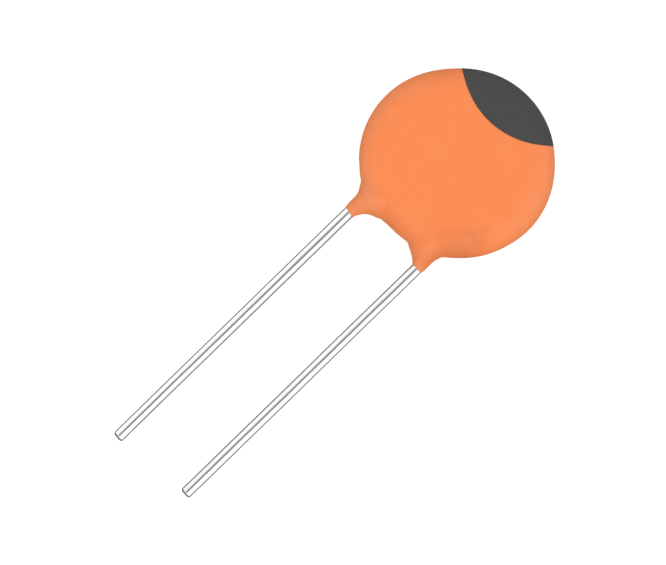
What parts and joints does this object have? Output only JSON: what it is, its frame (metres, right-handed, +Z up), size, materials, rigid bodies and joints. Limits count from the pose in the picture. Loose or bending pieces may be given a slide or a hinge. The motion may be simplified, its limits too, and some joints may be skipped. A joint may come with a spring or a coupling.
{
  "type": "ceramic disc capacitor",
  "caption": "Round flat ceramic capacitor with an orange resin coating, a dark painted tip and two parallel tinned wire leads.",
  "frame": {"origin": "centre of the coated disc, on the flat back that it lies on", "axes": "+Z up through the disc towards its front, +Y towards the painted tip, leads along -Y, +X towards the lead with the shorter tail"},
  "size_m": [0.0112, 0.0303, 0.0033],
  "materials": {
    "coating": "satin dip-coated resin",
    "tip_paint": "flat dark marking paint",
    "ceramic": "fired, unglazed",
    "silver": "fired silver, matte",
    "solder": "dull reflowed solder",
    "tinned_wire": "bright tin plating"
  },
  "bodies": {
    "root": {"resin_coating": "coating", "tip_mark": "tip_paint", "ceramic_disc": "ceramic", "front_electrode": "silver", "back_electrode": "silver", "front_solder": "solder", "back_solder": "solder", "left_lead": "tinned_wire", "right_lead": "tinned_wire"}
  },
  "joints": []
}
